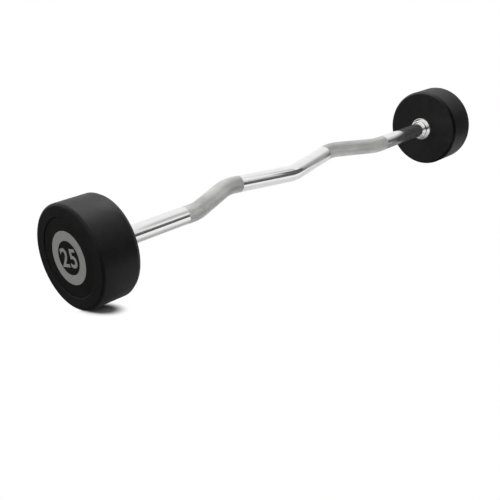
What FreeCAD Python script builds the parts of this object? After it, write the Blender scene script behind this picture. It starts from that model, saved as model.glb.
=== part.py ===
import FreeCAD, Part
import math
import os

# A fixed-weight curl barbell: one bent, chromed bar, keyed and bolted into two steel heads with moulded covers.
# Millimetres. +X runs along the bar, +Z is up, and the origin is on the floor under the middle of the bar.
# The right end is modelled along u, the distance outward from the head's inner face. The left end mirrors it.

# Bar: from each head a straight outer run on the axis of the heads leads to the outer bend, the grip slopes from
# there to a peak, and both peaks slope back to the middle. The runs are lengths along X, the outer one from the
# head's inner face, and the offsets are distances from that axis.
BAR_DIAMETER = 32.0
INNER_SPAN = 950.0
OUTER_RUN = 198.0
GRIP_RUN = 115.0
PEAK_OFFSET = 40.0
MIDDLE_OFFSET = 8.0
BEND_RADIUS = 75.0
# The plane of the bends rises from the floor by this angle, towards +Y
BEND_LIFT_DEG = 24.0

# Knurled grips: raised bands round the peak and the outer bend, with straight tails past both
GRIP_RAISE = 0.3
GRIP_INNER_TAIL = 10.0
GRIP_OUTER_TAIL = 17.0

# Collar boss and flange on the bar, inboard of the head
COLLAR_WALL = 5.0
COLLAR_LENGTH = 10.0
COLLAR_EDGE = 2.5
FLANGE_LEDGE = 4.5
FLANGE_THICKNESS = 6.5
FLANGE_EDGE = 1.5
SET_SCREW_DIAMETER = 6.0
SET_SCREW_BITE = 1.5
SET_SCREW_DROP = 0.4
SET_SCREW_SOCKET = 3.0
SET_SCREW_SOCKET_DEPTH = 2.5

# Head: steel core in a moulded cover
HEAD_DIAMETER = 175.0
HEAD_WIDTH = 74.0
HEAD_OUTER_EDGE = 5.0
HEAD_BEVEL_WIDTH = 7.0
HEAD_BEVEL_DEPTH = 4.0
HEAD_BEVEL_EDGE = 2.0
COVER_RIM_WALL = 10.0
COVER_INNER_WALL = 8.0
CORE_EDGE = 3.0

# End cap let into the outer face, and the ring inlaid in it
LIP_WIDTH = 22.0
LIP_EDGE = 1.0
CAP_RECESS = 1.0
CAP_THICKNESS = 7.0
CAP_EDGE = 1.0
CAP_PLUG_DEPTH = 5.0
RING_DIAMETER = 88.0
RING_WIDTH = 16.0
RING_DEPTH = 1.6
RING_RAISE = 0.3

# Seat of the core on the bar, and the fasteners that clamp it
SEAT_DEPTH = 4.0
SHOULDER_STEP = 3.0
THREAD_DIAMETER = 12.0
THREAD_RUN_OUT = 8.0
BOLT_LENGTH = 40.0
BOLT_HEAD_DIAMETER = 18.0
BOLT_HEAD_HEIGHT = 12.0
BOLT_HEAD_EDGE = 1.0
BOLT_SOCKET = 10.0
BOLT_SOCKET_DEPTH = 6.0
WASHER_DIAMETER = 40.0
WASHER_THICKNESS = 5.0
LOCK_WASHER_THICKNESS = 3.0
LOCK_WASHER_SLOT = 2.0
LOCK_WASHER_SLANT_DEG = 25.0
POCKET_ROOM = 2.0
KEY_WIDTH = 6.0
KEY_HEIGHT = 6.0
KEY_LENGTH = 14.0
KEY_SEAT = 2.5
KEY_END_GAP = 1.5

# Clearances: radial fit, gap that leaves the clamping to the core, and gap over the bolt's head
FIT = 0.1
CLAMP_GAP = 0.5
HEAD_GAP = 0.5

# Values that follow from the ones above
BAR_RADIUS = BAR_DIAMETER / 2
HALF_SPAN = INNER_SPAN / 2
HEAD_RADIUS = HEAD_DIAMETER / 2
CORE_RADIUS = HEAD_RADIUS - COVER_RIM_WALL
CAP_RADIUS = HEAD_RADIUS - LIP_WIDTH
SPIGOT_RADIUS = BAR_RADIUS - SHOULDER_STEP
THREAD_RADIUS = THREAD_DIAMETER / 2
COLLAR_RADIUS = BAR_RADIUS + COLLAR_WALL
FLANGE_RADIUS = COLLAR_RADIUS + FLANGE_LEDGE
POCKET_RADIUS = WASHER_DIAMETER / 2 + POCKET_ROOM
BORE_RADIUS = BAR_RADIUS + FIT

# Stations along u
COLLAR_START = -FLANGE_THICKNESS - COLLAR_LENGTH
SET_SCREW_U = -FLANGE_THICKNESS - COLLAR_LENGTH / 2
CORE_START = COVER_INNER_WALL
SHOULDER = CORE_START + SEAT_DEPTH
CAP_FACE = HEAD_WIDTH - CAP_RECESS
CAP_BACK = CAP_FACE - CAP_THICKNESS
BOLT_HEAD_END = CAP_BACK - CAP_PLUG_DEPTH - HEAD_GAP
BOLT_HEAD_START = BOLT_HEAD_END - BOLT_HEAD_HEIGHT
LOCK_WASHER_START = BOLT_HEAD_START - LOCK_WASHER_THICKNESS
POCKET_FLOOR = LOCK_WASHER_START - WASHER_THICKNESS
SPIGOT_END = POCKET_FLOOR - CLAMP_GAP
BOLT_TIP = BOLT_HEAD_START - BOLT_LENGTH
THREAD_END = BOLT_TIP - THREAD_RUN_OUT
KEY_START = SHOULDER + KEY_END_GAP
KEY_END = KEY_START + KEY_LENGTH

ORIGIN = FreeCAD.Vector(0, 0, 0)
X_AXIS = FreeCAD.Vector(1, 0, 0)
DOWN = FreeCAD.Vector(0, 0, -1)
POINT_TOLERANCE = 1e-6


def corner_arc(before, at, after, radius):
    """Start, middle and end of the tangent arc that rounds one corner."""
    to_before = (before - at).normalize()
    to_after = (after - at).normalize()
    half_angle = to_before.getAngle(to_after) / 2
    tangent = radius / math.tan(half_angle)
    bisector = (to_before + to_after).normalize()
    middle = at + bisector * (radius / math.sin(half_angle) - radius)
    return at + to_before * tangent, middle, at + to_after * tangent


def rounded_wire(corners, closed=True):
    """Straight runs through corners (x, y, radius) in the XY plane, with each corner rounded by its radius."""
    points = [FreeCAD.Vector(x, y, 0) for x, y, radius in corners]
    stops = []
    for i, (x, y, radius) in enumerate(corners):
        if radius == 0:
            stops.append([points[i]])
        else:
            stops.append(corner_arc(points[i - 1], points[i], points[(i + 1) % len(points)], radius))
    edges = []
    for i, stop in enumerate(stops):
        if len(stop) == 3:
            edges.append(Part.Arc(*stop).toShape())
        if i == len(stops) - 1 and not closed:
            continue
        following = stops[(i + 1) % len(stops)][0]
        if stop[-1].distanceToPoint(following) > POINT_TOLERANCE:
            edges.append(Part.LineSegment(stop[-1], following).toShape())
    return Part.Wire(edges)


def turned(corners):
    """Solid of revolution about the X axis from a closed outline of corners (u, r, radius)."""
    return Part.Face(rounded_wire(corners)).revolve(ORIGIN, X_AXIS, 360)


def disc(start, end, radius):
    """Plain cylinder about the X axis."""
    return Part.makeCylinder(radius, end - start, X_AXIS * start, X_AXIS)


def hexagon(across_flats, depth, at, direction):
    """Hexagonal prism from a point along a direction."""
    reach = across_flats / math.sqrt(3)
    corners = [math.radians(60 * i) for i in range(7)]
    outline = Part.makePolygon([FreeCAD.Vector(reach * math.cos(a), reach * math.sin(a), 0) for a in corners])
    prism = Part.Face(outline).extrude(FreeCAD.Vector(0, 0, depth))
    prism.Placement = FreeCAD.Placement(at, FreeCAD.Rotation(FreeCAD.Vector(0, 0, 1), direction))
    return prism


def mirrored(shape):
    """The same thing at the other end of the bar."""
    return shape.mirror(ORIGIN, X_AXIS)


def towards(start, end, distance):
    """The point at a distance from start on the way to end, as corners (x, y, radius) without rounding."""
    run = FreeCAD.Vector(end[0] - start[0], end[1] - start[1], 0).normalize() * distance
    return start[0] + run.x, start[1] + run.y, 0


def bend_tangent(before, at, after):
    """Distance from a bend's corner to where its arc begins."""
    arc = corner_arc(*[FreeCAD.Vector(x, y, 0) for x, y, radius in (before, at, after)], BEND_RADIUS)
    return arc[0].distanceToPoint(FreeCAD.Vector(at[0], at[1], 0))


def swept(path_corners, radius):
    """Round bar along a path that starts with a straight run."""
    start, following = [FreeCAD.Vector(x, y, 0) for x, y, bend in path_corners[:2]]
    section = Part.Wire(Part.makeCircle(radius, start, following - start))
    return rounded_wire(path_corners, closed=False).makePipeShell([section], True, False)


# Corners of the bar's right half, from its shoulder in the head inward
BAR_END = (HALF_SPAN + SHOULDER, 0, 0)
OUTER_BEND = (HALF_SPAN - OUTER_RUN, 0, BEND_RADIUS)
PEAK = (OUTER_BEND[0] - GRIP_RUN, PEAK_OFFSET, BEND_RADIUS)
MIDDLE = (0, MIDDLE_OFFSET, BEND_RADIUS)


def grip_band():
    """Raised band of the right grip, over the peak and the outer bend."""
    inner_run = bend_tangent(MIDDLE, PEAK, OUTER_BEND) + GRIP_INNER_TAIL
    outer_run = bend_tangent(PEAK, OUTER_BEND, BAR_END) + GRIP_OUTER_TAIL
    path = [towards(PEAK, MIDDLE, inner_run), PEAK, OUTER_BEND, towards(OUTER_BEND, BAR_END, outer_run)]
    return swept(path, BAR_RADIUS + GRIP_RAISE)


def key_blank(room):
    """Round-ended key, upright on its seat in the spigot, with room added all round in plan."""
    half_width = KEY_WIDTH / 2 + room
    outline = rounded_wire([
        (KEY_START - room, -half_width, half_width),
        (KEY_END + room, -half_width, half_width),
        (KEY_END + room, half_width, half_width),
        (KEY_START - room, half_width, half_width),
    ])
    blank = Part.Face(outline).extrude(FreeCAD.Vector(0, 0, KEY_HEIGHT))
    blank.translate(FreeCAD.Vector(0, 0, SPIGOT_RADIUS - KEY_SEAT))
    return blank


def set_screw_blank():
    """Plain rod of the set screw, from its dimple in the bar to just under the collar's surface."""
    bottom = BAR_RADIUS - SET_SCREW_BITE
    length = COLLAR_RADIUS - SET_SCREW_DROP - bottom
    return Part.makeCylinder(SET_SCREW_DIAMETER / 2, length, FreeCAD.Vector(SET_SCREW_U, 0, -bottom), DOWN)


def curl_bar():
    """Bent bar with raised grips, and a spigot, a tapped hole and a keyway at each end."""
    right_half = [PEAK, OUTER_BEND, BAR_END]
    left_half = [(-x, y, radius) for x, y, radius in reversed(right_half)]
    bent = swept(left_half + [MIDDLE] + right_half, BAR_RADIUS)
    grip = grip_band()
    bar = bent.fuse([grip, mirrored(grip)])
    bar.rotate(ORIGIN, X_AXIS, BEND_LIFT_DEG)
    spigot = disc(SHOULDER, SPIGOT_END, SPIGOT_RADIUS)
    cuts = [disc(THREAD_END, SPIGOT_END, THREAD_RADIUS + FIT), key_blank(FIT), set_screw_blank()]
    for piece in [spigot] + cuts:
        piece.translate(X_AXIS * HALF_SPAN)
    bar = bar.fuse([spigot, mirrored(spigot)])
    return bar.cut(cuts + [mirrored(cut) for cut in cuts])


def collar():
    """Boss round the bar, rounded towards the grip, with the set screw's hole underneath."""
    boss = turned([
        (COLLAR_START, BORE_RADIUS, 0),
        (COLLAR_START, COLLAR_RADIUS, COLLAR_EDGE),
        (-FLANGE_THICKNESS, COLLAR_RADIUS, 0),
        (-FLANGE_THICKNESS, BORE_RADIUS, 0),
    ])
    at = FreeCAD.Vector(SET_SCREW_U, 0, 0)
    return boss.cut(Part.makeCylinder(SET_SCREW_DIAMETER / 2, FLANGE_RADIUS, at, DOWN))


def flange():
    """Wider ring between the collar and the head."""
    return turned([
        (-FLANGE_THICKNESS, BORE_RADIUS, 0),
        (-FLANGE_THICKNESS, FLANGE_RADIUS, FLANGE_EDGE),
        (0, FLANGE_RADIUS, 0),
        (0, BORE_RADIUS, 0),
    ])


def set_screw():
    """Socket set screw that holds the collar on the bar."""
    socket_floor = COLLAR_RADIUS - SET_SCREW_DROP - SET_SCREW_SOCKET_DEPTH
    at = FreeCAD.Vector(SET_SCREW_U, 0, -socket_floor)
    return set_screw_blank().cut(hexagon(SET_SCREW_SOCKET, SET_SCREW_SOCKET_DEPTH, at, DOWN))


def head_core():
    """Steel weight, stepped to seat on the bar's shoulder, with a keyway and a pocket for the fasteners."""
    core = turned([
        (CORE_START, BORE_RADIUS, 0),
        (CORE_START, CORE_RADIUS, CORE_EDGE),
        (CAP_BACK, CORE_RADIUS, CORE_EDGE),
        (CAP_BACK, POCKET_RADIUS, 0),
        (POCKET_FLOOR, POCKET_RADIUS, 0),
        (POCKET_FLOOR, SPIGOT_RADIUS + FIT, 0),
        (SHOULDER, SPIGOT_RADIUS + FIT, 0),
        (SHOULDER, BORE_RADIUS, 0),
    ])
    keyway_top = SPIGOT_RADIUS - KEY_SEAT + KEY_HEIGHT + FIT
    keyway_width = KEY_WIDTH + 2 * FIT
    corner = FreeCAD.Vector(SHOULDER, -keyway_width / 2, 0)
    return core.cut(Part.makeBox(POCKET_FLOOR - SHOULDER, keyway_width, keyway_top, corner))


def head_cover():
    """Moulded skin over the core, bevelled inside, rounded outside, with a lip round the end cap."""
    return turned([
        (0, BORE_RADIUS, 0),
        (0, HEAD_RADIUS - HEAD_BEVEL_DEPTH, HEAD_BEVEL_EDGE),
        (HEAD_BEVEL_WIDTH, HEAD_RADIUS, HEAD_BEVEL_EDGE),
        (HEAD_WIDTH, HEAD_RADIUS, HEAD_OUTER_EDGE),
        (HEAD_WIDTH, CAP_RADIUS, LIP_EDGE),
        (CAP_BACK, CAP_RADIUS, 0),
        (CAP_BACK, CORE_RADIUS, CORE_EDGE),
        (CORE_START, CORE_RADIUS, CORE_EDGE),
        (CORE_START, BORE_RADIUS, 0),
    ])


def drive_key():
    """Key between the spigot and the core."""
    return key_blank(0)


def end_washer():
    """Thick washer that clamps the core against the bar's shoulder."""
    washer = disc(POCKET_FLOOR, LOCK_WASHER_START, WASHER_DIAMETER / 2)
    return washer.cut(disc(POCKET_FLOOR, LOCK_WASHER_START, THREAD_RADIUS + FIT))


def lock_washer():
    """Split spring washer under the bolt's head, pressed flat."""
    ring = disc(LOCK_WASHER_START, BOLT_HEAD_START, BOLT_HEAD_DIAMETER / 2)
    ring = ring.cut(disc(LOCK_WASHER_START, BOLT_HEAD_START, THREAD_RADIUS + FIT))
    middle = (LOCK_WASHER_START + BOLT_HEAD_START) / 2
    corner = FreeCAD.Vector(middle - BOLT_HEAD_DIAMETER / 2, -LOCK_WASHER_SLOT / 2, 0)
    slot = Part.makeBox(BOLT_HEAD_DIAMETER, LOCK_WASHER_SLOT, BOLT_HEAD_DIAMETER, corner)
    slot.rotate(X_AXIS * middle, FreeCAD.Vector(0, 0, 1), LOCK_WASHER_SLANT_DEG)
    return ring.cut(slot)


def end_bolt():
    """Socket head cap screw in the bar's tapped hole."""
    bolt = turned([
        (BOLT_TIP, 0, 0),
        (BOLT_TIP, THREAD_RADIUS, BOLT_HEAD_EDGE),
        (BOLT_HEAD_START, THREAD_RADIUS, 0),
        (BOLT_HEAD_START, BOLT_HEAD_DIAMETER / 2, 0),
        (BOLT_HEAD_END, BOLT_HEAD_DIAMETER / 2, BOLT_HEAD_EDGE),
        (BOLT_HEAD_END, 0, 0),
    ])
    socket_floor = X_AXIS * (BOLT_HEAD_END - BOLT_SOCKET_DEPTH)
    return bolt.cut(hexagon(BOLT_SOCKET, BOLT_SOCKET_DEPTH, socket_floor, X_AXIS))


def end_cap():
    """Disc that closes the head, centred by a plug in the core's pocket, with a groove for the ring."""
    ring_outer = RING_DIAMETER / 2 + FIT
    ring_inner = RING_DIAMETER / 2 - RING_WIDTH - FIT
    groove_floor = CAP_FACE - RING_DEPTH
    return turned([
        (CAP_BACK - CAP_PLUG_DEPTH, 0, 0),
        (CAP_BACK - CAP_PLUG_DEPTH, POCKET_RADIUS - FIT, CAP_EDGE),
        (CAP_BACK, POCKET_RADIUS - FIT, 0),
        (CAP_BACK, CAP_RADIUS - FIT, 0),
        (CAP_FACE, CAP_RADIUS - FIT, CAP_EDGE),
        (CAP_FACE, ring_outer, 0),
        (groove_floor, ring_outer, 0),
        (groove_floor, ring_inner, 0),
        (CAP_FACE, ring_inner, 0),
        (CAP_FACE, 0, 0),
    ])


def cap_ring():
    """Plain grey ring in the end cap's groove."""
    ring_outer = RING_DIAMETER / 2
    ring_inner = ring_outer - RING_WIDTH
    ring_face = CAP_FACE + RING_RAISE
    return turned([
        (CAP_FACE - RING_DEPTH, ring_inner, 0),
        (CAP_FACE - RING_DEPTH, ring_outer, 0),
        (ring_face, ring_outer, RING_RAISE),
        (ring_face, ring_inner, RING_RAISE),
    ])


END_PIECES = {
    "collar": collar,
    "flange": flange,
    "set_screw": set_screw,
    "head_core": head_core,
    "head_cover": head_cover,
    "drive_key": drive_key,
    "end_washer": end_washer,
    "lock_washer": lock_washer,
    "end_bolt": end_bolt,
    "end_cap": end_cap,
    "cap_ring": cap_ring,
}


def save(node, shape):
    """Lifts a finished piece from the heads' axis to its height over the floor, and writes it."""
    shape.translate(FreeCAD.Vector(0, 0, HEAD_RADIUS))
    shape.exportStep(os.path.join("parts", node + ".step"))


def main():
    os.makedirs("parts", exist_ok=True)
    save("curl_bar", curl_bar())
    for name, make in END_PIECES.items():
        right = make()
        right.translate(X_AXIS * HALF_SPAN)
        left = mirrored(right)
        save("left_" + name, left)
        save("right_" + name, right)


main()
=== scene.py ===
import math
from collections import namedtuple

import bpy
from mathutils import Matrix, Vector


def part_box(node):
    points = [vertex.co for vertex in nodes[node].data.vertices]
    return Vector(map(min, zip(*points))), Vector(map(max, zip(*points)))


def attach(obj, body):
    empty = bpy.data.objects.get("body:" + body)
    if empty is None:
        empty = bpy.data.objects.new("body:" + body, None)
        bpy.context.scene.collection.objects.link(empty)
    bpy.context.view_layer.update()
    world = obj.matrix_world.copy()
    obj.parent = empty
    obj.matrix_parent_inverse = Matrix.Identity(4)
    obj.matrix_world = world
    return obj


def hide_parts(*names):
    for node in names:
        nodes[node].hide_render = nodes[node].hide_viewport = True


# Looks of a fixed-weight curl barbell: a bent chrome bar with knurled grips, and two black moulded heads.
# Metres, in the frame of the solids: +X along the bar from the near head to the far one, +Z up, and the
# origin on the floor under the bar's middle. The camera stands on the side of -Y.

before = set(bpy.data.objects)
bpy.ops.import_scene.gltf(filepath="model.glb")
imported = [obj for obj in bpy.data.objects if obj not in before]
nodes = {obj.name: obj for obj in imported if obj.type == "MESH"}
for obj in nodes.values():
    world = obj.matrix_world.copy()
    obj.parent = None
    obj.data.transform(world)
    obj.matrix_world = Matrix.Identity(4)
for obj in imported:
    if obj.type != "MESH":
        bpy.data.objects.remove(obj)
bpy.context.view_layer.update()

BODY = "root"
SIDES = ("left", "right")
MM = 0.001

# Bar: the sizes of its solid. The shoulder's depth is measured from the head's inner face.
BAR_RADIUS = 16 * MM
OUTER_RUN = 198 * MM
GRIP_RUN = 115 * MM
PEAK_OFFSET = 40 * MM
MIDDLE_OFFSET = 8 * MM
BEND_RADIUS = 75 * MM
BEND_LIFT = math.radians(24)
SHOULDER_DEPTH = 12 * MM
SPIGOT_RADIUS = 13 * MM
HOLE_RADIUS = 6.1 * MM
HOLE_DEPTH = 39.5 * MM

# Rings of the bar's mesh: the points in each, the longest step in a bend, and how close a second ring lies
# to each end of a smooth stretch
RING_POINTS = 128
BEND_STEP = 2 * MM
END_STEP = 0.4 * MM

# Knurl: one diamond to two points of a ring. It stays within the solid's grip bands, which are raised by
# 0.3 mm. The tails are how far a grip runs on past its bends.
KNURL_STEP = 0.8 * MM
KNURL_PEAK = 0.28 * MM
KNURL_VALLEY = 0.02 * MM
GRIP_INNER_TAIL = 10 * MM
GRIP_OUTER_TAIL = 17 * MM

# Number on the end caps. The font's digits reach a share of its size in height.
NUMBER = "25"
NUMBER_HEIGHT = 30 * MM
DIGIT_SHARE = 0.7
NUMBER_RAISE = 0.5 * MM
NUMBER_EDGE = 0.12 * MM
NUMBER_EDGE_STEPS = 2
NUMBER_CURVE_STEPS = 24
NUMBER_WEIGHT = 0.6 * MM
NUMBER_SPACING = 1.1

# Finishes: the noise values of the dark and the light tone, and the dark and light tones of the cover's
# black and of the cap's, which is the same urethane darkened as painted shade
TONE_STOPS = (0.3, 0.7)
COVER_TONES = ((0.0046, 0.0046, 0.0044), (0.009, 0.009, 0.0086))
SHADED_CAP_TONES = ((0.0034, 0.0034, 0.0032), (0.0066, 0.0066, 0.0063))

# Camera: its place, the direction it looks in and the direction of the picture's right side
CAMERA_PLACE = (-1.1452, -1.0276, 0.3475)
CAMERA_AIM = (0.66796, 0.70072, -0.25064)
CAMERA_RIGHT = (0.68065, -0.71141, -0.17496)
CAMERA_LENS = 55.34
CAMERA_SENSOR = 36.0

# Corners of a square, and white
SQUARE = ((-1, -1), (1, -1), (1, 1), (-1, 1))
WHITE = (1, 1, 1, 1)

# Floor, even light of the world, and lamps (place, width, power), which shine at the origin
FLOOR_SIZE = 40.0
FLOOR_COLOUR = (0.88, 0.88, 0.88, 1)
FLOOR_ROUGHNESS = 0.9
WORLD_LIGHT = 0.2
TOP_LIGHT = ((-0.5, 1.1, 2.0), 1.8, 60)
SHEEN_LIGHT = ((0.7, 0.25, 2.0), 1.4, 20)

# The studio as polished metal mirrors it is made of greys. A fade, rise or fall is a pair of values: where
# it is 0 and where it is 1.

# Panels, by the angle about X in degrees, from the horizon on the camera's side over the top. The X of the
# mirrored direction chooses the set: near within a window, side towards +X, and far elsewhere.
NEAR_PANEL_GREYS = [(7, 0.04), (11, 0.95), (22, 1.0), (34, 0.64), (46, 0.42), (58, 0.53), (70, 0.82),
                    (86, 0.92), (104, 0.95), (130, 0.9)]
FAR_PANEL_GREYS = [(8, 0.06), (13, 0.66), (20, 0.62), (28, 0.74), (40, 0.94), (60, 0.94), (90, 0.9),
                   (130, 0.94)]
SIDE_PANEL_GREYS = [(0, 0.1), (4, 0.13), (19, 0.28), (35, 0.46), (51, 0.66), (64, 0.82), (80, 0.92),
                    (130, 0.9)]
NEAR_PANEL_RISE, NEAR_PANEL_FALL = (0.568, 0.582), (0.67, 0.63)
SIDE_PANEL_FADE = (0.74, 0.80)

# Floor, by place: bands across it, on a paper that ends near each head. The grey band under the bar, from
# about -0.05 to 0.07 across, is the bar's painted shadow
FLOOR_GREYS = [(-0.24, 0.04), (-0.21, 0.95), (-0.09, 0.95), (-0.05, 0.68), (-0.015, 0.4), (0.02, 0.4),
               (0.07, 0.75), (0.12, 1.0), (0.16, 0.06)]
PAPER_RISE, PAPER_FALL = (-0.62, -0.40), (0.68, 0.60)
# From the middle on towards +X, the strip under the bar, which is the bar's painted shadow, is no darker
# than this
STRIP_SIDES = (0.14, 0.10)
STRIP_FADE = (-0.25, -0.05)
STRIP_GREY = 0.72
# A dark patch of the strip near the far head: painted shade of that head
PATCH_RISE, PATCH_FALL = (0.34, 0.42), (0.53, 0.49)
PATCH_GREY = 0.2
# A dark corner of the paper, past the strip on the camera's side near the far head: painted shade of that
# head too
CORNER_FADE_ALONG, CORNER_FADE_ACROSS = (0.42, 0.52), (-0.14, -0.17)
CORNER_GREY = 0.0

# Towards +X the horizon is grey: by the X of the mirrored direction, and by place on the floor
HORIZON_GREY = 0.34
HORIZON_FADE = (0.84, 0.89)
FLOOR_HORIZON_FADE = (0.60, 0.68)

# A low dark card beside the bar's middle, which only mirrors see: a painted dark reflection. Its corners
# (along, up) and its place across
CARD_CORNERS = [(0.145, 0), (0.96, 0), (0.80, 0.39), (0.235, 0.39)]
CARD_ACROSS = -0.4
CARD_GREY = 0.08

# A soft dark disc just behind the inner face of the far head, a painted dark reflection of that head which
# only
# mirrors see: its middle (across, up), how far it is fully dark, where it ends and how far behind the face
# it lies
DISC_MIDDLE = (-0.02, 0.07)
DISC_DARK_REACH, DISC_REACH = 0.078, 0.118
DISC_INSET = 3 * MM
DISC_GREY = 0.02

# Where the floor shows shadows to the camera: in an oval beside the foot of each head, given by its middle
# and its reach along and across the bar, and fading by shares of that reach. The other side of the foot
# stays white. Places across the bar are scaled, so that the far head's oval is narrower and on the +Y side.
SHADOW_ALONG = (0.530, 0.0213)
SHADOW_ACROSS = (0.025, 0.049)
SHADOW_FADE = (0.56, 1.39)
SHADOW_FOOT_FADE = (0.002, -0.008)
SHADOW_NEAR_SCALE, SHADOW_FAR_SCALE = -1, 2.5

head_low, head_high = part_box("right_head_cover")
AXIS_HEIGHT = (head_high.z + head_low.z) / 2
HALF_SPAN = head_low.x
SPIGOT_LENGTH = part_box("curl_bar")[1].x - HALF_SPAN - SHOULDER_DEPTH


# Finishes

def new_material(name):
    """A new material, its node tree and its shader."""
    material = bpy.data.materials.new(name)
    material.use_nodes = True
    tree = material.node_tree
    shader = tree.nodes["Principled BSDF"]
    return material, tree, shader


def noise(tree, scale, detail, stretch=(1, 1, 1)):
    """Noise in the frame's own coordinates, with a scale per metre."""
    place = tree.nodes.new("ShaderNodeTexCoord")
    mapping = tree.nodes.new("ShaderNodeMapping")
    mapping.inputs["Scale"].default_value = stretch
    texture = tree.nodes.new("ShaderNodeTexNoise")
    texture.inputs["Scale"].default_value = scale
    texture.inputs["Detail"].default_value = detail
    tree.links.new(place.outputs["Object"], mapping.inputs["Vector"])
    tree.links.new(mapping.outputs["Vector"], texture.inputs["Vector"])
    return texture.outputs["Fac"]


def ramp(tree, value, stops):
    """Colours between stops (position, colour)."""
    node = tree.nodes.new("ShaderNodeValToRGB")
    elements = node.color_ramp.elements
    elements.remove(elements[1])
    for i, (position, colour) in enumerate(stops):
        element = elements[0] if i == 0 else elements.new(position)
        element.position = position
        element.color = (*colour, 1)
    tree.links.new(value, node.inputs["Fac"])
    return node.outputs["Color"]


def mottle(tree, shader, scale, detail, dark, light):
    """Base colour that drifts between a dark and a light tone."""
    tint = ramp(tree, noise(tree, scale, detail), zip(TONE_STOPS, (dark, light)))
    tree.links.new(tint, shader.inputs["Base Color"])


def uneven_gloss(tree, shader, scale, detail, low, high):
    """Roughness that drifts within a range."""
    node = tree.nodes.new("ShaderNodeMapRange")
    node.inputs["To Min"].default_value = low
    node.inputs["To Max"].default_value = high
    tree.links.new(noise(tree, scale, detail), node.inputs["Value"])
    tree.links.new(node.outputs["Result"], shader.inputs["Roughness"])


def grain(tree, shader, scale, detail, depth):
    """Bump of a depth in metres."""
    node = tree.nodes.new("ShaderNodeBump")
    node.inputs["Distance"].default_value = depth
    tree.links.new(noise(tree, scale, detail), node.inputs["Height"])
    tree.links.new(node.outputs["Normal"], shader.inputs["Normal"])


def chrome():
    """Bright plating with a faint polish haze."""
    material, tree, shader = new_material("chrome")
    shader.inputs["Metallic"].default_value = 0.9
    mottle(tree, shader, scale=45, detail=3, dark=(0.90, 0.90, 0.895), light=(0.94, 0.94, 0.935))
    uneven_gloss(tree, shader, scale=260, detail=5, low=0.06, high=0.12)
    return material


def knurled_chrome():
    """Matte plating on the knurl, with painted shade and dirt in its grooves, and patches of wear and
    painted light streaks along the bar.
    """
    material, tree, shader = new_material("knurled_chrome")
    shader.inputs["Metallic"].default_value = 0.8
    # Painted shade, with dirt: the tint is darker in the grooves (knurl_height 0) than on the peaks
    height = tree.nodes.new("ShaderNodeAttribute")
    height.attribute_name = "knurl_height"
    tint = ramp(tree, height.outputs["Fac"], [(0.0, (0.62, 0.62, 0.61)), (1.0, (0.80, 0.80, 0.79))])
    # Patches along the bar, partly wear and partly painted light streaks, scale the tint
    patches = noise(tree, scale=38, detail=3, stretch=(0.35, 1, 1))
    wear_and_light_streaks = ramp(tree, patches, [(0.38, (0.86,) * 3), (0.62, (1.12,) * 3)])
    worn_and_lit = tree.nodes.new("ShaderNodeVectorMath")
    worn_and_lit.operation = "MULTIPLY"
    tree.links.new(tint, worn_and_lit.inputs[0])
    tree.links.new(wear_and_light_streaks, worn_and_lit.inputs[1])
    tree.links.new(worn_and_lit.outputs["Vector"], shader.inputs["Base Color"])
    uneven_gloss(tree, shader, scale=420, detail=4, low=0.42, high=0.56)
    return material


def urethane(name, dark, light):
    """Black moulded urethane with a fine grain and cloudy sheen."""
    material, tree, shader = new_material(name)
    shader.inputs["Specular IOR Level"].default_value = 0.25
    mottle(tree, shader, scale=60, detail=4, dark=dark, light=light)
    uneven_gloss(tree, shader, scale=35, detail=5, low=0.42, high=0.62)
    grain(tree, shader, scale=1700, detail=2, depth=0.05 * MM)
    return material


def ring_grey():
    """Grey moulded inlay with a faint fleck."""
    material, tree, shader = new_material("ring_grey")
    shader.inputs["Specular IOR Level"].default_value = 0.3
    mottle(tree, shader, scale=900, detail=3, dark=(0.28, 0.28, 0.27), light=(0.34, 0.34, 0.33))
    uneven_gloss(tree, shader, scale=140, detail=4, low=0.45, high=0.6)
    grain(tree, shader, scale=2200, detail=2, depth=0.03 * MM)
    return material


def core_steel():
    """Rough steel weight inside the heads."""
    material, tree, shader = new_material("core_steel")
    shader.inputs["Metallic"].default_value = 1.0
    mottle(tree, shader, scale=90, detail=5, dark=(0.10, 0.10, 0.10), light=(0.20, 0.19, 0.18))
    uneven_gloss(tree, shader, scale=200, detail=4, low=0.5, high=0.75)
    grain(tree, shader, scale=500, detail=4, depth=0.2 * MM)
    return material


def fastener_steel():
    """Dull zinc plating on the screws, bolts, washers and keys."""
    material, tree, shader = new_material("fastener_steel")
    shader.inputs["Metallic"].default_value = 1.0
    mottle(tree, shader, scale=600, detail=4, dark=(0.38, 0.38, 0.39), light=(0.46, 0.46, 0.465))
    uneven_gloss(tree, shader, scale=300, detail=4, low=0.35, high=0.5)
    return material


# Bar

Stretch = namedtuple("Stretch", "start heading length curvature")


def bar_corners():
    """Corners (along X, offset) of the bar's middle line, from the left shoulder to the right one."""
    outer_bend = HALF_SPAN - OUTER_RUN
    peak = outer_bend - GRIP_RUN
    right_half = [(peak, PEAK_OFFSET), (outer_bend, 0), (HALF_SPAN + SHOULDER_DEPTH, 0)]
    left_half = [(-x, offset) for x, offset in reversed(right_half)]
    return [Vector(corner) for corner in left_half + [(0, MIDDLE_OFFSET)] + right_half]


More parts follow.
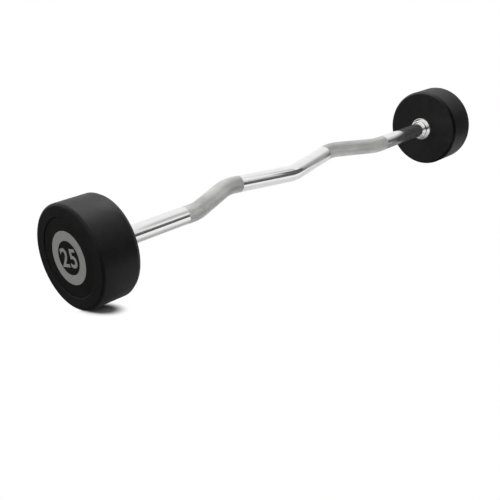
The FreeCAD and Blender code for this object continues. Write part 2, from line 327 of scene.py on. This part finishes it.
def bar_stretches(corners):
    """Straight and bent stretches of the middle line, in turn."""
    runs = [after - before for before, after in zip(corners, corners[1:])]
    headings = [math.atan2(run.y, run.x) for run in runs]
    turns = [0] + [after - before for before, after in zip(headings, headings[1:])] + [0]
    tangents = [BEND_RADIUS * math.tan(abs(turn) / 2) for turn in turns]
    stretches = []
    for i, run in enumerate(runs):
        start = corners[i] + run.normalized() * tangents[i]
        stretches.append(Stretch(start, headings[i], run.length - tangents[i] - tangents[i + 1], 0))
        turn = turns[i + 1]
        if turn:
            bend_start = corners[i + 1] - run.normalized() * tangents[i + 1]
            curvature = math.copysign(1 / BEND_RADIUS, turn)
            stretches.append(Stretch(bend_start, headings[i], BEND_RADIUS * abs(turn), curvature))
    return stretches


STRETCHES = bar_stretches(bar_corners())
STRETCH_STARTS = [sum(stretch.length for stretch in STRETCHES[:i]) for i in range(len(STRETCHES) + 1)]
BAR_LENGTH = STRETCH_STARTS[-1]
# Places of two bends among the stretches
LEFT_OUTER_BEND, LEFT_PEAK = 1, 3


def bar_point(s):
    """Point and heading of the middle line at a distance along it, also past its ends."""
    i = max(0, min(len(STRETCHES) - 1, sum(s >= start for start in STRETCH_STARTS[:-1]) - 1))
    stretch = STRETCHES[i]
    heading = stretch.heading
    along = s - STRETCH_STARTS[i]
    if stretch.curvature == 0:
        return stretch.start + along * Vector((math.cos(heading), math.sin(heading))), heading
    turned = heading + stretch.curvature * along
    across = (math.sin(turned) - math.sin(heading), math.cos(heading) - math.cos(turned))
    return stretch.start + Vector(across) / stretch.curvature, turned


def bar_ring(s, radii):
    """Ring of points round the middle line, each at its own distance from it."""
    centre, heading = bar_point(s)
    lift = Matrix.Rotation(BEND_LIFT, 3, "X")
    side = lift @ Vector((-math.sin(heading), math.cos(heading), 0))
    up = lift @ Vector((0, 0, 1))
    middle = lift @ Vector((centre.x, centre.y, 0)) + Vector((0, 0, AXIS_HEIGHT))
    points = []
    for j, radius in enumerate(radii):
        angle = 2 * math.pi * j / len(radii)
        points.append(middle + radius * (math.cos(angle) * side + math.sin(angle) * up))
    return points


def grip_range():
    """Where the left grip starts and ends along the bar."""
    start = STRETCH_STARTS[LEFT_OUTER_BEND] - GRIP_OUTER_TAIL
    end = STRETCH_STARTS[LEFT_PEAK + 1] + GRIP_INNER_TAIL
    return start, end


def smooth_stations(start, end):
    """Distances along the bar for a smooth stretch: the bends' ends, steps within the bends, and its own
    ends, each with a ring close by, so that its shading stays clear of the knurl or shoulder next to it."""
    stations = {start, start + END_STEP, end - END_STEP, end}
    for stretch, stretch_start in zip(STRETCHES, STRETCH_STARTS):
        steps = max(1, math.ceil(stretch.length / BEND_STEP)) if stretch.curvature else 1
        for k in range(steps + 1):
            s = stretch_start + stretch.length * k / steps
            if start < s < end:
                stations.add(s)
    return sorted(stations)


# Kinds of faces on the bar
SMOOTH, KNURL, FLAT = 0, 1, 2


class BarMesh:
    """Collects rings of points and the faces between neighbouring rings."""

    def __init__(self):
        self.points = []
        self.heights = []
        self.faces = []
        self.kinds = []

    def ring(self, s, radii, heights):
        """Adds a ring and gives the number of its first point."""
        self.points += bar_ring(s, radii)
        self.heights += heights
        return len(self.points) - RING_POINTS

    def plain_ring(self, s, radius):
        """Adds a round ring and gives the number of its first point."""
        return self.ring(s, [radius] * RING_POINTS, [1.0] * RING_POINTS)

    def join(self, first, second, kind, row=None):
        """Quads between two rings, or on the knurl triangles whose shared edges run along its grooves."""
        for j in range(RING_POINTS):
            k = (j + 1) % RING_POINTS
            a, b, c, d = first + j, first + k, second + k, second + j
            if row is None:
                made = [(a, b, c, d)]
            elif (row + j) % 2 == 0:
                made = [(a, b, c), (a, c, d)]
            else:
                made = [(a, b, d), (b, c, d)]
            self.faces += made
            self.kinds += [kind] * len(made)

    def close(self, ring, backwards):
        """Flat end on a ring."""
        order = list(range(ring, ring + RING_POINTS))
        self.faces.append(order[::-1] if backwards else order)
        self.kinds.append(FLAT)


def add_smooth(mesh, ring, start, end):
    """Smooth stretch after a ring that is already at its start."""
    for s in smooth_stations(start, end)[1:]:
        following = mesh.plain_ring(s, BAR_RADIUS)
        mesh.join(ring, following, SMOOTH)
        ring = following
    return ring


def add_knurl(mesh, ring, start, end):
    """Diamond knurl after a plain ring, back to a plain ring at its end."""
    rows = round((end - start) / KNURL_STEP)
    for row in range(1, rows + 1):
        s = start + (end - start) * row / rows
        if row == rows:
            following = mesh.plain_ring(s, BAR_RADIUS)
        else:
            heights = [float((row + j) % 2) for j in range(RING_POINTS)]
            radii = [BAR_RADIUS + (KNURL_PEAK if height else KNURL_VALLEY) for height in heights]
            following = mesh.ring(s, radii, heights)
        mesh.join(ring, following, KNURL, row - 1)
        ring = following
    return ring


def add_end(mesh, ring, end, outward):
    """Shoulder, spigot and bolt hole at an end of the bar, hidden in its head."""
    profile = [
        (0, SPIGOT_RADIUS),
        (SPIGOT_LENGTH, SPIGOT_RADIUS),
        (SPIGOT_LENGTH, HOLE_RADIUS),
        (SPIGOT_LENGTH - HOLE_DEPTH, HOLE_RADIUS),
    ]
    for distance, radius in profile:
        following = mesh.plain_ring(end + outward * distance, radius)
        pair = (ring, following) if outward > 0 else (following, ring)
        mesh.join(*pair, FLAT)
        ring = following
    mesh.close(ring, backwards=outward < 0)


def bent_bar():
    """The whole bar as one closed mesh, with chrome and knurl faces."""
    mesh = BarMesh()
    left_start, left_end = grip_range()
    right_start, right_end = BAR_LENGTH - left_end, BAR_LENGTH - left_start
    first = mesh.plain_ring(0, BAR_RADIUS)
    ring = add_smooth(mesh, first, 0, left_start)
    ring = add_knurl(mesh, ring, left_start, left_end)
    ring = add_smooth(mesh, ring, left_end, right_start)
    ring = add_knurl(mesh, ring, right_start, right_end)
    ring = add_smooth(mesh, ring, right_end, BAR_LENGTH)
    add_end(mesh, ring, BAR_LENGTH, 1)
    add_end(mesh, first, 0, -1)
    data = bpy.data.meshes.new("bent_bar")
    data.from_pydata(mesh.points, [], mesh.faces)
    data.attributes.new("knurl_height", "FLOAT", "POINT").data.foreach_set("value", mesh.heights)
    data.polygons.foreach_set("use_smooth", [kind == SMOOTH for kind in mesh.kinds])
    data.polygons.foreach_set("material_index", [int(kind == KNURL) for kind in mesh.kinds])
    data.update()
    bar = bpy.data.objects.new("bent_bar", data)
    bpy.context.scene.collection.objects.link(bar)
    return bar


# Number

def number_mesh():
    """The number as a mesh in the XY plane, centred on the origin, as deep below z = 0 as above it."""
    text = bpy.data.curves.new("number", "FONT")
    text.body = NUMBER
    text.align_x = "CENTER"
    text.offset = NUMBER_WEIGHT
    text.space_character = NUMBER_SPACING
    text.extrude = NUMBER_RAISE - NUMBER_EDGE
    text.bevel_depth = NUMBER_EDGE
    text.bevel_resolution = NUMBER_EDGE_STEPS
    text.resolution_u = NUMBER_CURVE_STEPS
    text.size = NUMBER_HEIGHT / DIGIT_SHARE
    holder = bpy.data.objects.new("number", text)
    bpy.context.scene.collection.objects.link(holder)
    bpy.context.view_layer.update()
    made = bpy.data.meshes.new_from_object(holder.evaluated_get(bpy.context.evaluated_depsgraph_get()))
    bpy.data.objects.remove(holder)
    xs = [v.co.x for v in made.vertices]
    ys = [v.co.y for v in made.vertices]
    made.transform(Matrix.Translation((-(min(xs) + max(xs)) / 2, -(min(ys) + max(ys)) / 2, 0)))
    return made


def number_piece(side, mesh):
    """The number on one end cap, half sunk in it, upright and readable from outside."""
    low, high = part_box(side + "_end_cap")
    outward = -1 if side == "left" else 1
    face = low.x if outward < 0 else high.x
    across = Vector((0, outward, 0))
    up = Vector((0, 0, 1))
    out = Vector((outward, 0, 0))
    turn = Matrix((across, up, out)).transposed().to_4x4()
    piece = bpy.data.objects.new(side + "_number", mesh.copy())
    piece.data.transform(Matrix.Translation((face, 0, AXIS_HEIGHT)) @ turn)
    bpy.context.scene.collection.objects.link(piece)
    return piece


# Stage

def coordinates(tree, kind):
    """X, Y and Z of a kind of texture coordinates."""
    place = tree.nodes.new("ShaderNodeTexCoord")
    split = tree.nodes.new("ShaderNodeSeparateXYZ")
    tree.links.new(place.outputs[kind], split.inputs[0])
    return [split.outputs[axis] for axis in "XYZ"]


def switch(tree, share, off, on):
    """Mix of two shaders, by a share of the second from 0 to 1."""
    node = tree.nodes.new("ShaderNodeMixShader")
    tree.links.new(share, node.inputs[0])
    tree.links.new(off, node.inputs[1])
    tree.links.new(on, node.inputs[2])
    return node.outputs[0]


def math_node(tree, operation, first, second=None):
    """Result of a calculation with one or two values, where a plain number stays a constant."""
    node = tree.nodes.new("ShaderNodeMath")
    node.operation = operation
    for socket, value in zip(node.inputs, (first, second)):
        if isinstance(value, (int, float)):
            socket.default_value = value
        elif value is not None:
            tree.links.new(value, socket)
    return node.outputs[0]


def step(tree, value, start, end):
    """0 before a start and 1 past an end, smooth in between. The start may be the larger of the two."""
    node = tree.nodes.new("ShaderNodeMapRange")
    node.interpolation_type = "SMOOTHSTEP"
    node.inputs["From Min"].default_value = start
    node.inputs["From Max"].default_value = end
    tree.links.new(value, node.inputs["Value"])
    return node.outputs["Result"]


def window(tree, value, rise, fall):
    """1 between two fades and 0 past them."""
    return math_node(tree, "MULTIPLY", step(tree, value, *rise), step(tree, value, *fall))


def greys(tree, value, stops):
    """Greys between stops (value, grey), constant past both ends."""
    start, end = stops[0][0], stops[-1][0]
    share = tree.nodes.new("ShaderNodeMapRange")
    share.inputs["From Min"].default_value = start
    share.inputs["From Max"].default_value = end
    tree.links.new(value, share.inputs["Value"])
    ramp_stops = [((at - start) / (end - start), (grey,) * 3) for at, grey in stops]
    return ramp(tree, share.outputs["Result"], ramp_stops)


def between(tree, share, first, second):
    """A value between two others, by a share from 0 to 1."""
    change = math_node(tree, "SUBTRACT", second, first)
    return math_node(tree, "ADD", first, math_node(tree, "MULTIPLY", share, change))


def oval_distance(tree, parts):
    """Distance from the middle of an oval, 1 at its reach, from two parts (value, middle, reach)."""
    squares = []
    for value, middle, reach in parts:
        share = math_node(tree, "DIVIDE", math_node(tree, "SUBTRACT", value, middle), reach)
        squares.append(math_node(tree, "MULTIPLY", share, share))
    return math_node(tree, "SQRT", math_node(tree, "ADD", *squares))


def plain_floor(tree, x, y):
    """1 where the floor is plain white to the camera, and 0 where it shows shadows."""
    far_head = math_node(tree, "GREATER_THAN", x, 0)
    change = math_node(tree, "MULTIPLY", far_head, SHADOW_FAR_SCALE - SHADOW_NEAR_SCALE)
    across = math_node(tree, "MULTIPLY", y, math_node(tree, "ADD", change, SHADOW_NEAR_SCALE))
    along = math_node(tree, "ABSOLUTE", x)
    from_middle = oval_distance(tree, [(along, *SHADOW_ALONG), (across, *SHADOW_ACROSS)])
    outside = step(tree, from_middle, *SHADOW_FADE)
    return math_node(tree, "MAXIMUM", outside, step(tree, across, *SHADOW_FOOT_FADE))


def mirrored_floor(tree, x, y):
    """Grey of the floor as metal mirrors it, with the bar's painted shadow and painted shade near the far
    head.
    """
    # Painted shadow of the bar: the strip under it, lighter from the middle on towards +X
    strip = step(tree, math_node(tree, "ABSOLUTE", y), *STRIP_SIDES)
    least = math_node(tree, "MULTIPLY", step(tree, x, *STRIP_FADE), STRIP_GREY)
    bands = greys(tree, y, FLOOR_GREYS)
    bands = math_node(tree, "MAXIMUM", bands, math_node(tree, "MULTIPLY", least, strip))
    # Painted shade of the far head: a dark patch of the strip and a dark corner of the paper
    patch = math_node(tree, "MULTIPLY", strip, window(tree, x, PATCH_RISE, PATCH_FALL))
    bands = between(tree, patch, bands, PATCH_GREY)
    along = step(tree, x, *CORNER_FADE_ALONG)
    corner = math_node(tree, "MULTIPLY", along, step(tree, y, *CORNER_FADE_ACROSS))
    bands = between(tree, corner, bands, CORNER_GREY)
    paper = math_node(tree, "MULTIPLY", window(tree, x, PAPER_RISE, PAPER_FALL), bands)
    horizon = math_node(tree, "MULTIPLY", step(tree, x, *FLOOR_HORIZON_FADE), HORIZON_GREY)
    return math_node(tree, "MAXIMUM", paper, horizon)


def floor_material():
    """White paper: the camera sees shadows on it at the heads only, and metal mirrors greys instead."""
    material, tree, shader = new_material("floor")
    shader.inputs["Base Color"].default_value = FLOOR_COLOUR
    shader.inputs["Roughness"].default_value = FLOOR_ROUGHNESS
    shader.inputs["Specular IOR Level"].default_value = 0.0
    x, y = coordinates(tree, "Object")[:2]
    path = tree.nodes.new("ShaderNodeLightPath")
    blank = tree.nodes.new("ShaderNodeEmission")
    plain = math_node(tree, "MULTIPLY", plain_floor(tree, x, y), path.outputs["Is Camera Ray"])
    seen = switch(tree, plain, shader.outputs[0], blank.outputs[0])
    mirrored = tree.nodes.new("ShaderNodeEmission")
    tree.links.new(mirrored_floor(tree, x, y), mirrored.inputs["Strength"])
    surface = switch(tree, path.outputs["Is Glossy Ray"], seen, mirrored.outputs[0])
    tree.links.new(surface, tree.nodes["Material Output"].inputs["Surface"])
    return material


def studio_world():
    """Soft even light. The camera sees white, and metal mirrors the panels of the studio."""
    world = bpy.data.worlds.new("studio")
    world.use_nodes = True
    tree = world.node_tree
    light = tree.nodes["Background"]
    light.inputs["Color"].default_value = WHITE
    light.inputs["Strength"].default_value = WORLD_LIGHT
    white = tree.nodes.new("ShaderNodeBackground")
    white.inputs["Color"].default_value = WHITE
    panels = tree.nodes.new("ShaderNodeBackground")
    x, y, z = coordinates(tree, "Generated")
    towards_camera = math_node(tree, "MULTIPLY", y, -1)
    angle = math_node(tree, "DEGREES", math_node(tree, "ARCTAN2", z, towards_camera))
    near, far, side = [greys(tree, angle, stops)
                       for stops in (NEAR_PANEL_GREYS, FAR_PANEL_GREYS, SIDE_PANEL_GREYS)]
    bands = between(tree, window(tree, x, NEAR_PANEL_RISE, NEAR_PANEL_FALL), far, near)
    bands = between(tree, step(tree, x, *SIDE_PANEL_FADE), bands, side)
    horizon = math_node(tree, "MULTIPLY", step(tree, x, *HORIZON_FADE), HORIZON_GREY)
    tree.links.new(math_node(tree, "MAXIMUM", bands, horizon), panels.inputs["Color"])
    path = tree.nodes.new("ShaderNodeLightPath")
    seen = switch(tree, path.outputs["Is Camera Ray"], light.outputs[0], white.outputs[0])
    surface = switch(tree, path.outputs["Is Glossy Ray"], seen, panels.outputs[0])
    tree.links.new(surface, tree.nodes["World Output"].inputs["Surface"])
    bpy.context.scene.world = world


def stage_sheet(name, corners, material):
    """Four-cornered sheet of the stage, which isn't part of the barbell."""
    data = bpy.data.meshes.new(name)
    data.from_pydata(corners, [], [(0, 1, 2, 3)])
    data.materials.append(material)
    made = bpy.data.objects.new(name, data)
    bpy.context.scene.collection.objects.link(made)
    return made


def floor():
    """Large square floor."""
    half = FLOOR_SIZE / 2
    stage_sheet("floor", [(x * half, y * half, 0) for x, y in SQUARE], floor_material())


def dark_material(name, grey):
    """Even dark grey, whatever light falls on it, with its node tree and its shader."""
    material, tree, shader = new_material(name)
    shader.inputs["Base Color"].default_value = (0, 0, 0, 1)
    shader.inputs["Specular IOR Level"].default_value = 0.0
    shader.inputs["Emission Color"].default_value = WHITE
    shader.inputs["Emission Strength"].default_value = grey
    return material, tree, shader


def mirror_only(name, corners, material):
    """Sheet of the stage that only mirrors see."""
    made = stage_sheet(name, corners, material)
    made.visible_camera = False
    made.visible_diffuse = False
    made.visible_shadow = False


def card():
    """Dark card that stands on the floor beside the bar's middle: a painted dark reflection, which only
    mirrors see.
    """
    corners = [(along, CARD_ACROSS, up) for along, up in CARD_CORNERS]
    mirror_only("card", corners, dark_material("card", CARD_GREY)[0])


def disc():
    """Soft dark disc just behind the far head's inner face, clear past its edge: a painted dark reflection
    of that head.
    """
    material, tree, shader = dark_material("disc", DISC_GREY)
    y, z = coordinates(tree, "Object")[1:]
    across, up = DISC_MIDDLE
    from_middle = oval_distance(tree, [(y, across, DISC_REACH), (z, up, DISC_REACH)])
    outside = step(tree, from_middle, DISC_DARK_REACH / DISC_REACH, 1)
    clear = tree.nodes.new("ShaderNodeBsdfTransparent")
    surface = switch(tree, outside, shader.outputs[0], clear.outputs[0])
    tree.links.new(surface, tree.nodes["Material Output"].inputs["Surface"])
    along = HALF_SPAN + DISC_INSET
    corners = [(along, across + a * DISC_REACH, up + b * DISC_REACH) for a, b in SQUARE]
    mirror_only("disc", corners, material)


def softbox(name, place, size, power, lit=()):
    """Square area lamp that shines at the origin. It lights everything and doesn't show in mirrors, or it
    lights and glosses only the pieces in a list."""
    data = bpy.data.lights.new(name, "AREA")
    data.shape = "SQUARE"
    data.size = size
    data.energy = power
    lamp = bpy.data.objects.new(name, data)
    lamp.location = place
    lamp.rotation_mode = "QUATERNION"
    lamp.rotation_quaternion = (-Vector(place)).to_track_quat("-Z", "Y")
    lamp.visible_camera = False
    lamp.visible_glossy = bool(lit)
    if lit:
        lamp.light_linking.receiver_collection = bpy.data.collections.new(name + "_pieces")
        for piece in lit:
            lamp.light_linking.receiver_collection.objects.link(piece)
    bpy.context.scene.collection.objects.link(lamp)


def camera():
    """Camera at the photograph's viewing angle."""
    data = bpy.data.cameras.new("camera")
    data.sensor_width = CAMERA_SENSOR
    data.lens = CAMERA_LENS
    made = bpy.data.objects.new("camera", data)
    back = -Vector(CAMERA_AIM).normalized()
    right = Vector(CAMERA_RIGHT).normalized()
    up = back.cross(right).normalized()
    made.matrix_world = Matrix.Translation(CAMERA_PLACE) @ Matrix((right, up, back)).transposed().to_4x4()
    bpy.context.scene.collection.objects.link(made)
    bpy.context.scene.camera = made


# The barbell

FINISHES = {
    "chrome": chrome(),
    "urethane": urethane("urethane", *COVER_TONES),
    # Painted shade: the end caps get a darker copy of the cover's urethane
    "shaded_cap_urethane": urethane("shaded_cap_urethane", *SHADED_CAP_TONES),
    "ring_grey": ring_grey(),
    "core_steel": core_steel(),
    "fastener_steel": fastener_steel(),
}
NODE_FINISHES = {
    "collar": "chrome",
    "flange": "chrome",
    "set_screw": "fastener_steel",
    "head_core": "core_steel",
    "head_cover": "urethane",
    "drive_key": "fastener_steel",
    "end_washer": "fastener_steel",
    "lock_washer": "fastener_steel",
    "end_bolt": "fastener_steel",
    "end_cap": "shaded_cap_urethane",
    "cap_ring": "ring_grey",
}
for side in SIDES:
    for piece_name, finish in NODE_FINISHES.items():
        nodes[side + "_" + piece_name].material_slots[0].material = FINISHES[finish]

bar = bent_bar()
bar.data.materials.append(FINISHES["chrome"])
bar.data.materials.append(knurled_chrome())
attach(bar, BODY)
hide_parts("curl_bar")

digits = number_mesh()
for side in SIDES:
    number = number_piece(side, digits)
    number.data.materials.append(FINISHES["ring_grey"])
    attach(number, BODY)

# The stage

floor()
card()
disc()
studio_world()
heads = [nodes[side + "_" + piece_name] for side in SIDES for piece_name in ("head_cover", "end_cap")]
softbox("top_light", *TOP_LIGHT)
softbox("sheen_light", *SHEEN_LIGHT, heads)
camera()
bpy.context.scene.view_settings.view_transform = "Standard"
